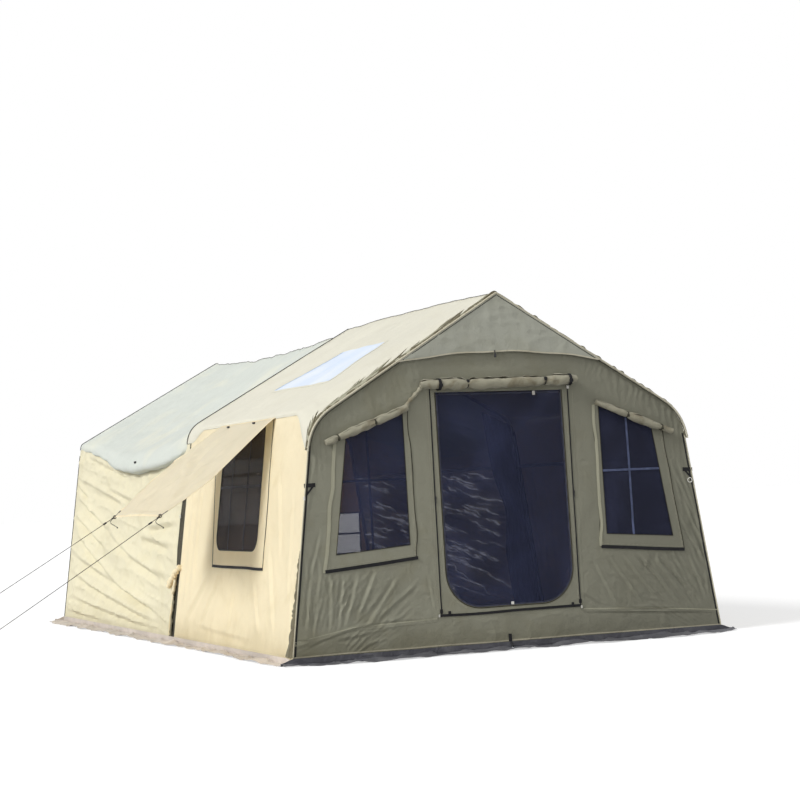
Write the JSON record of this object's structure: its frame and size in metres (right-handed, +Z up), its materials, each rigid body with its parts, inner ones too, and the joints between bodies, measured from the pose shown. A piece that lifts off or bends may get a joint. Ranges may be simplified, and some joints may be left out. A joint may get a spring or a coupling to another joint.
{
  "type": "camping tent",
  "caption": "Two-room canvas cabin tent on a tube frame, with a mesh door, mesh windows, rolled flaps, a skylight and a roped side awning.",
  "frame": {"origin": "on the ground at the middle of the tent's rectangular footprint", "axes": "+Y from the door to the back wall, +X to the right as seen from outside the door, +Z up"},
  "size_m": [6.5681, 7.85, 2.8],
  "materials": {
    "tube_steel": "galvanised",
    "peg_steel": "galvanised",
    "olive_canvas": "coated canvas",
    "cream_canvas": "coated canvas",
    "beige_roof": "coated canvas",
    "grey_roof": "coated canvas",
    "insect_mesh": "fine mesh",
    "clear_sheet": "clear sheet",
    "webbing": "woven",
    "black_metal": "painted",
    "white_plastic": "moulded",
    "black_plastic": "moulded",
    "mud_flap_grey": "coated sheet",
    "mud_flap_pale": "coated sheet",
    "groundsheet": "coated sheet",
    "rope": "braided"
  },
  "bodies": {
    "tent": {"front_leg_left": "tube_steel", "front_leg_right": "tube_steel", "middle_leg_left": "tube_steel", "middle_leg_right": "tube_steel", "rear_leg_left": "tube_steel", "rear_leg_right": "tube_steel", "front_rafter_left": "tube_steel", "front_rafter_right": "tube_steel", "middle_rafter_left": "tube_steel", "middle_rafter_right": "tube_steel", "rear_rafter_left": "tube_steel", "rear_rafter_right": "tube_steel", "front_peak_joint": "tube_steel", "middle_peak_joint": "tube_steel", "rear_peak_joint": "tube_steel", "ridge_tube_front": "tube_steel", "ridge_tube_rear": "tube_steel", "side_rail_front_left": "tube_steel", "side_rail_front_right": "tube_steel", "side_rail_rear_left": "tube_steel", "side_rail_rear_right": "tube_steel", "roof_front": "beige_roof", "roof_rear": "grey_roof", "skylight": "clear_sheet", "front_wall": "olive_canvas", "back_wall": "cream_canvas", "front_room_wall_left": "cream_canvas", "front_room_wall_right": "cream_canvas", "rear_room_wall_left": "cream_canvas", "rear_room_wall_right": "cream_canvas", "gable_pelmet": "olive_canvas", "door_roll": "olive_canvas", "front_window_mesh_left": "insect_mesh", "front_window_mesh_right": "insect_mesh", "front_window_roll_left": "olive_canvas", "front_window_roll_right": "olive_canvas", "side_window_mesh_left": "insect_mesh", "side_window_mesh_right": "insect_mesh", "side_window_roll_right": "cream_canvas", "back_window_mesh": "insect_mesh", "back_window_roll": "cream_canvas", "corner_tab_left": "webbing", "corner_tab_right": "webbing", "groundsheet": "groundsheet", "mud_flap_front": "mud_flap_grey", "mud_flap_rear": "mud_flap_pale", "mud_flap_left": "mud_flap_pale", "mud_flap_right": "mud_flap_pale", "peg_loop_ring": "peg_steel", "guy_rope_near": "rope", "guy_rope_far": "rope", "guy_peg_near": "peg_steel", "guy_peg_far": "peg_steel"},
    "awning": {"awning_flap": "beige_roof"},
    "mesh_door": {"door_mesh": "insect_mesh", "door_mesh_pull": "white_plastic"},
    "zip_left": {"door_zip_slider_left": "black_metal"},
    "zip_right": {"door_zip_slider_right": "black_metal"},
    "runner_near": {"guy_runner_near": "black_plastic"},
    "runner_far": {"guy_runner_far": "black_plastic"}
  },
  "joints": [
    {"name": "awning_fold", "type": "hinge", "parent": "tent", "child": "awning", "pos_m": [-1.60491, -2.165, 1.872], "axis": [0, -1, 0], "range_deg": [0, 40], "deforming": ["guy_rope_near", "guy_rope_far"]},
    {"name": "mesh_door_swing", "type": "hinge", "parent": "tent", "child": "mesh_door", "pos_m": [-0.02, -3.64356, 1.9986], "axis": [-1, 0, 0], "range_deg": [0, 80]},
    {"name": "zip_left_slide", "type": "slide", "parent": "tent", "child": "zip_left", "axis": [0, 0.04, 0.9992], "range_m": [-0.85, 0.8]},
    {"name": "zip_right_slide", "type": "slide", "parent": "tent", "child": "zip_right", "axis": [0, 0.04, 0.9992], "range_m": [-0.85, 0.8]},
    {"name": "runner_near_slide", "type": "slide", "parent": "awning", "child": "runner_near", "axis": [-0.8469, 0, -0.5317], "range_m": [0, 0.25]},
    {"name": "runner_far_slide", "type": "slide", "parent": "awning", "child": "runner_far", "axis": [-0.8608, 0, -0.509], "range_m": [0, 0.25]}
  ]
}
